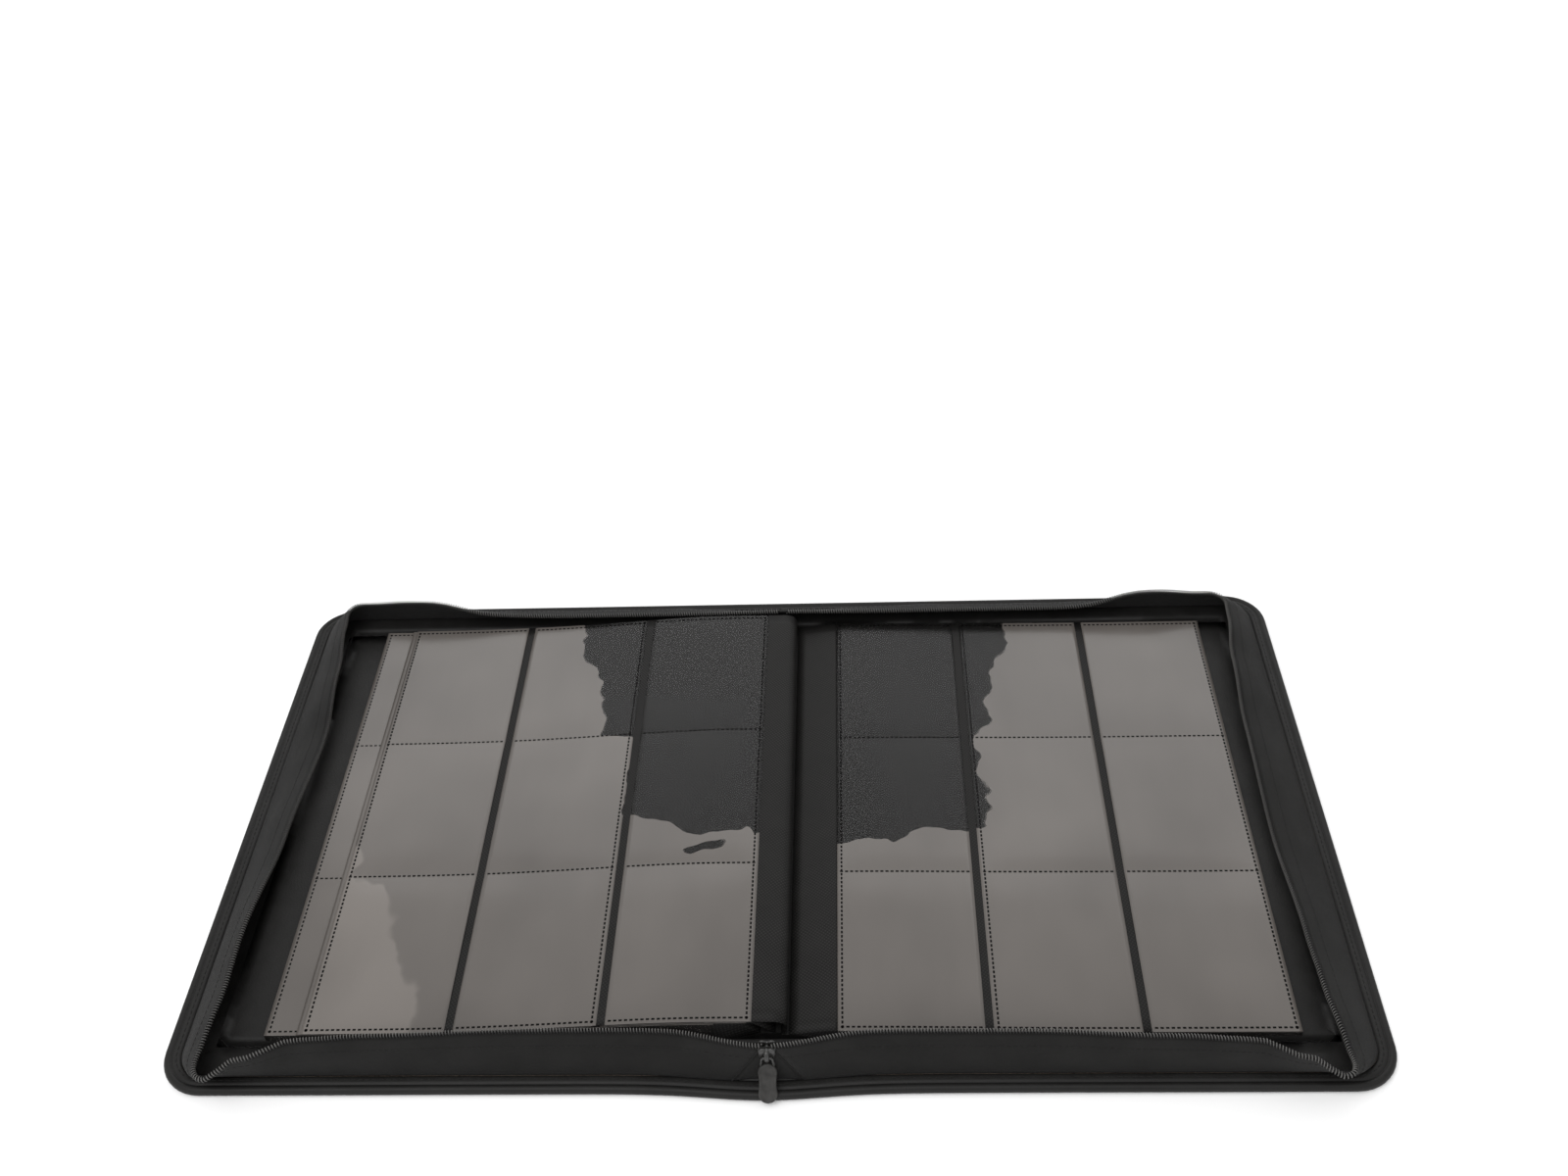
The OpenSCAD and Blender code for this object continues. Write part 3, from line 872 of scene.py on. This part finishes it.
def backing(name, here, curl=False, span=None):
    """The embossed sheet of a leaf, or a span of it; the top left one curls down into the gutter."""
    side = here.side
    xs = leaf_xs(here.root, here.outer, [e for pair in column_edges(side, here.outer) for e in pair])
    if span:
        xs = [x for x in xs if span[0] - 0.1 * MM <= x <= span[1] + 0.1 * MM]
    profile = [(x, lambda y, x=x: here.z(x, y)) for x in xs]
    if curl:
        lip_x, lip_z = (v * MM for v in LIP[-1])
        lipped = [(a * MM, lambda y, b=b: b * MM + 0.25 * MM * wobble(1, y * 16, 2))
                  for a, b in LIP]
        easing = [(lerp(lip_x, FLAT_FROM, i / 4),
                   lambda y, i=i: lerp(lip_z, here.z(FLAT_FROM, y), smooth(i / 4))) for i in range(1, 5)]
        profile = lipped + easing + [(x, f) for x, f in profile if x < FLAT_FROM]
    upper, lower, uvs = [], [], []
    run = abs(profile[0][0] - here.root)
    for i, (x, f) in enumerate(profile):
        (xa, fa), (xb, fb) = profile[max(i - 1, 0)], profile[min(i + 1, len(profile) - 1)]
        up_row, low_row = [], []
        if i:
            run += math.hypot(x - profile[i - 1][0], f(0) - profile[i - 1][1](0))
        for y in page_ys():
            way = Vector((xb - xa, 0, fb(y) - fa(y))).normalized()
            normal = Vector((-way.z, 0, way.x)) * side
            p = Vector((x, y, f(y)))
            up_row.append(p + normal * SHEET_T / 2)
            low_row.append(p - normal * SHEET_T / 2)
        upper.append(up_row)
        lower.append(low_row)
        uvs.append([(run, y) for y in page_ys()])
    return closed_sheet(name, upper, lower, PAGE, uvs, flip=side > 0)


HALF_LEAF = LEAF_H / 2
ROW_WELDS = [-HALF_LEAF + WELD_IN, -ROW_H / 2, ROW_H / 2, HALF_LEAF - WELD_IN]


def pinned(distance, over):
    """0 at a weld, growing to 1 away from it."""
    return 1 - math.exp(-max(distance, 0.0) / over)


def side_weld(side, c, xa, xb):
    """The X of a column's closed side; the outermost column opens towards the spine."""
    return xa + side * WELD_IN if c < 2 else xb - side * WELD_IN


def puff_at(side, c, xa, xb, x, y):
    """Share of the film's stand-off: none at the welds, most in a pocket's middle."""
    from_side = (x - side_weld(side, c, xa, xb)) * (side if c < 2 else -side)
    inside = ROW_WELDS[0] < y < ROW_WELDS[-1]
    from_row = min(abs(y - w) for w in ROW_WELDS) if inside else 0.0
    return pinned(from_side, 6 * MM) * pinned(from_row, 7 * MM)


def film_ys(count=42):
    even = [LEAF_H * (i / count - 0.5) for i in range(count + 1)]
    near = [w + d * MM for w in ROW_WELDS for d in (-2, 0, 2) if abs(w + d * MM) < HALF_LEAF]
    return sorted({round(v, 5) for v in even + near})


def film(name, here, face, puff, material):
    """Three columns of clear film on one face of a leaf, in one piece."""
    side = here.side
    pieces = Batch()
    ys = film_ys()
    for c, (xa, xb) in enumerate(column_edges(side, here.outer)):
        shares = sorted({i / 13 for i in range(14)} | {WELD_IN / COLUMN_W, 1 - WELD_IN / COLUMN_W})
        low_rows, high_rows, uv = [], [], []
        for x in (lerp(xa, xb, u) for u in shares):
            low, high = [], []
            for y in ys:
                wave = 0.5 + 0.5 * wobble(x * 21, y * 17, 4 + c + 7 * side)
                gap = puff * puff_at(side, c, xa, xb, x, y) * (0.35 + wave)
                inside = here.z(x, y + Y_MID) + face * (SHEET_T / 2 + 0.02 * MM + gap)
                low.append(Vector((x, y + Y_MID, inside)))
                high.append(Vector((x, y + Y_MID, inside + face * FILM_T * 0.8)))
            low_rows.append(low)
            high_rows.append(high)
            uv.append([(x, y) for y in ys])
        pieces.shell(high_rows, low_rows, uv, flip=(side > 0) == (face > 0))
    return pieces.piece(name, material)


def welds(name, here, face, height):
    """Dashed weld lines: pads pressed through the film to the sheet."""
    side = here.side
    dash, thick, pitch = 1.6 * MM, 0.98 * MM, 2.55 * MM
    batch = Batch()
    up = Vector((0, 0, face))

    def put(x, y, along_x):
        dx, dy = (dash / 2, thick / 2) if along_x else (thick / 2, dash / 2)
        level = here.z(x, y + Y_MID) + face * (SHEET_T / 2 + 0.06 * MM)
        ring = [Vector((x + sx * dx, y + Y_MID + sy * dy, level))
                for sx, sy in ((-1, -1), (1, -1), (1, 1), (-1, 1))]
        batch.pad(ring if face > 0 else ring[::-1], up, height, inset=0.08)

    for c, (xa, xb) in enumerate(column_edges(side, here.outer)):
        line = side_weld(side, c, xa, xb)
        count = int((LEAF_H - 2 * WELD_IN) / pitch)
        for i in range(count + 1):
            put(line, lerp(ROW_WELDS[0], ROW_WELDS[-1], i / count), False)
        count = int((COLUMN_W - 2 * WELD_IN) / pitch)
        for y in ROW_WELDS:
            for i in range(count + 1):
                put(lerp(xa + side * WELD_IN, xb - side * WELD_IN, i / count), y, True)
    return batch.piece(name, WELD, flat=True)


def leaf(side, k):
    here = Leaf(side, k)
    stem = here.stem
    seam = here.outer - side * FILM_W
    curled = side < 0 and k == 1
    span = (seam, here.outer) if here.turning else None
    sheet = backing(stem + "_backing", here, curl=curled, span=span)
    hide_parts(stem + "_sheet")
    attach(sheet, stem)
    made = [sheet]
    if here.turning:
        margin = backing(stem + "_margin", here, span=(here.root, seam))
        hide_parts("page_hinge_strip")
        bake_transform(margin)
    seen_top = k == 1 or (side > 0 and k == 2) or (side < 0 and k == 3)
    film_shows = k <= (2 if side > 0 else 3)
    for face, tag in ((1, "front"), (-1, "back")):
        top = k == 1 and face > 0
        special = (FILM_R if side > 0 else FILM_L) if top else FILM if film_shows else PRESSED_FILM
        skin = film(f"{stem}_film_{tag}", here, face, PUFF if top else 0.0, special)
        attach(skin, stem)
        made.append(skin)
        if face > 0:
            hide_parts(stem + "_pockets")
        if (face > 0 and seen_top) or here.turning:
            dashes = welds(f"{stem}_welds_{tag}", here, face, PAD_TOP if top else PAD_LOW)
            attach(dashes, stem)
            made.append(dashes)
    for piece in made:
        if side < 0:
            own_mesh(piece)
        else:
            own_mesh(piece)


# ---------- slider, link, tab ----------

def plate(batch, outline_points, y0, y1, bevel):
    """A flat plate across Y with rounded edges, from an outline in X and Z."""
    middle = sum((Vector(p) for p in outline_points), Vector((0, 0))) / len(outline_points)
    rings = []
    for y, pull in ((y0, bevel), (y0 + bevel, 0), (y1 - bevel, 0), (y1, bevel)):
        ring = []
        for p in outline_points:
            d = Vector(p) - middle
            q = middle + d * (1 - pull / max(d.length, 1e-6))
            ring.append(Vector((q.x, y, q.y)))
        rings.append(ring)
    batch.rings(rings)


def rounded(points, radius, steps=4):
    """Rounds a polygon's corners with short arcs."""
    out, n = [], len(points)
    for i in range(n):
        a, b, c = Vector(points[i - 1]), Vector(points[i]), Vector(points[(i + 1) % n])
        r = min(radius, (a - b).length / 2.2, (c - b).length / 2.2)
        s, e = b + (a - b).normalized() * r, b + (c - b).normalized() * r
        for k in range(steps + 1):
            t = k / steps
            out.append(tuple(lerp(lerp(s, b, t), lerp(b, e, t), t)))
    return out


def slider_piece():
    lo, hi = (Vector(c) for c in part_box("zip_slider"))
    z0, z1 = lo.z, hi.z
    tail, shoulder = 2.7 * MM, 3.8 * MM
    back = hi.y
    front = back - 5.2 * MM
    right = [(tail, z0), (shoulder, lerp(z0, z1, 0.55)), (shoulder, z1 - 0.4 * MM), (1.6 * MM, z1)]
    left = [(-x, z) for x, z in right[::-1]]
    shape = rounded([left[-1]] + right + [(0, z1 - 1.0 * MM)] + left[:-1], 1.1 * MM)
    batch = Batch()
    plate(batch, shape, front, front + 1.0 * MM, 0.25 * MM)
    plate(batch, shape, back - 1.0 * MM, back, 0.25 * MM)
    turns = [math.tau * i / 12 for i in range(12)]
    neck = [Vector((1.1 * MM * math.cos(a), 0, 0.9 * MM * math.sin(a) + z1 - 2.2 * MM)) for a in turns]
    batch.rings([[p + Vector((0, y, 0)) for p in neck] for y in (front + 0.8 * MM, back - 0.8 * MM)])
    flange_lo, flange_hi = z0 + 0.3 * MM, z1 - 0.8 * MM
    for s in (-1, 1):
        flange = [Vector((s * lerp(tail, shoulder, smooth(t * 1.6)) * 0.97, front + 1.3 * MM,
                          lerp(flange_lo, flange_hi, t))) for t in (i / 8 for i in range(9))]
        batch.rings(tube_points(flange, 0.42 * MM, 6))
    arch = [Vector((0, front + 0.3 * MM - 2.5 * MM * math.sin(math.pi * t) ** 0.55,
                    lerp(z0 + 0.9 * MM, z1 - 1.2 * MM, t))) for t in (i / 16 for i in range(17))]
    strap = tube_points(arch, 0.62 * MM, 8)
    batch.rings([[Vector((q.x * 1.9, q.y, q.z)) for q in ring] for ring in strap])
    piece = batch.piece("slider_body", ENAMEL)
    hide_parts("zip_slider")
    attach(piece, "slider")


def link_piece():
    lo, hi = (Vector(c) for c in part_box("pull_link"))
    y = (lo.y + hi.y) / 2
    pivot = joint_at["link_swing"]
    low = joint_at["tab_swing"]
    half_top, half_low = 2.35 * MM, 3.1 * MM
    corners = [(-half_top, pivot.z), (half_top, pivot.z), (half_low, low.z), (-half_low, low.z)]
    path = [Vector((x, y, z)) for x, z in rounded(corners, 1.3 * MM, 6)]
    batch = Batch()
    batch.rings(tube_points(path, 0.62 * MM, 8, closed=True), closed=True)
    piece = batch.piece("pull_wire_link", ENAMEL)
    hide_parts("pull_link")
    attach(piece, "link")


def stadium(half_w, top, bottom, inset, steps=14, side_steps=8):
    """Closed outline with round ends, slightly waisted, in the tab's own plane."""
    r = half_w - inset
    ends = top - half_w, bottom + half_w
    out = []
    for sign, (here, there) in ((1, ends), (-1, ends[::-1])):
        for a in (math.pi * i / steps for i in range(steps + 1)):
            out.append((sign * r * math.cos(a), here + sign * r * math.sin(a)))
        for t in (i / side_steps for i in range(1, side_steps)):
            waist = 0.45 * MM * math.sin(math.pi * t)
            out.append((sign * (waist - r), lerp(here, there, t)))
    return out


def tab_piece():
    tilt = math.radians(36)
    place = Matrix.Translation(joint_at["tab_swing"]) @ Matrix.Rotation(-tilt, 4, "X")
    half_w, top, bottom, half_t = 4.4 * MM, 1.2 * MM, -17.5 * MM, 1.05 * MM
    # (inset in mm, share of the half thickness), from the front face round to the hollow back
    section = [(3.9, 0.9), (1.6, 0.95), (0.6, 1), (0.15, 0.75), (0, 0.3), (0, -0.3), (0.15, -0.75), (0.5, -1),
               (1.0, -1), (1.25, -0.72), (3.9, -0.68)]
    batch = Batch()
    batch.rings([[place @ Vector((x, share * half_t, z)) for x, z in stadium(half_w, top, bottom, inset * MM)]
                 for inset, share in section])
    piece = batch.piece("pull_tab_grip", RUBBER)
    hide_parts("pull_tab")
    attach(piece, "tab")


# ---------- build ----------

for half in ("back", "front"):
    skin_half(half)
walls = {half: gusset(half) for half in ("back", "front")}
end_gores(walls)
for number in range(1, LEFT_LEAVES + 1):
    leaf(-1, number)
for number in range(1, RIGHT_LEAVES + 1):
    leaf(1, number)
slider_piece()
link_piece()
tab_piece()
for name, material in (("back_cover_board", BOARD), ("front_cover_board", BOARD), ("spine_board", BOARD),
                       ("binding_block", BLOCK)):
    kept = frame["nodes"][name]
    kept.data.materials.clear()
    kept.data.materials.append(material)

# ---------- floor, light, camera ----------

FLOOR_HALF, FLOOR_Z = 6.0, -0.0004
corners = [(x * FLOOR_HALF, y * FLOOR_HALF, 0) for x, y in ((-1, -1), (1, -1), (1, 1), (-1, 1))]
floor = mesh_piece("floor", corners, [(0, 1, 2, 3)], floor_material("floor_paper"), flat=True)
floor.location.z = FLOOR_Z

world = bpy.data.worlds.new("studio")
scene.world = world
world.use_nodes = True
background = world.node_tree.nodes["Background"].inputs
background["Color"].default_value = (1, 1, 1, 1)
background["Strength"].default_value = 0.85


def area_light(name, at, look, size, power):
    data = bpy.data.lights.new(name, "AREA")
    data.shape = "RECTANGLE"
    data.size, data.size_y = size
    data.energy = power
    lamp = bpy.data.objects.new(name, data)
    scene.collection.objects.link(lamp)
    lamp.location = at
    lamp.rotation_euler = (Vector(look) - Vector(at)).to_track_quat("-Z", "Y").to_euler()


area_light("key", (-0.45, -0.95, 1.7), (0, 0, 0), (1.4, 1.4), 22)
area_light("back_panel", (0.1, 1.9, 1.5), (0, 0, 0), (2.6, 1.2), 17)

camera_data = bpy.data.cameras.new("camera")
camera_data.lens = 36.54
camera_data.sensor_width = 36
camera_data.clip_start, camera_data.clip_end = 0.01, 50
camera = bpy.data.objects.new("camera", camera_data)
scene.collection.objects.link(camera)
camera.location = (0.0443, -0.5641, 0.6514)
camera.rotation_euler = Euler([math.radians(a) for a in (49.15, 2.49, 1.30)], "XYZ")
scene.camera = camera
scene.view_settings.view_transform = "Standard"
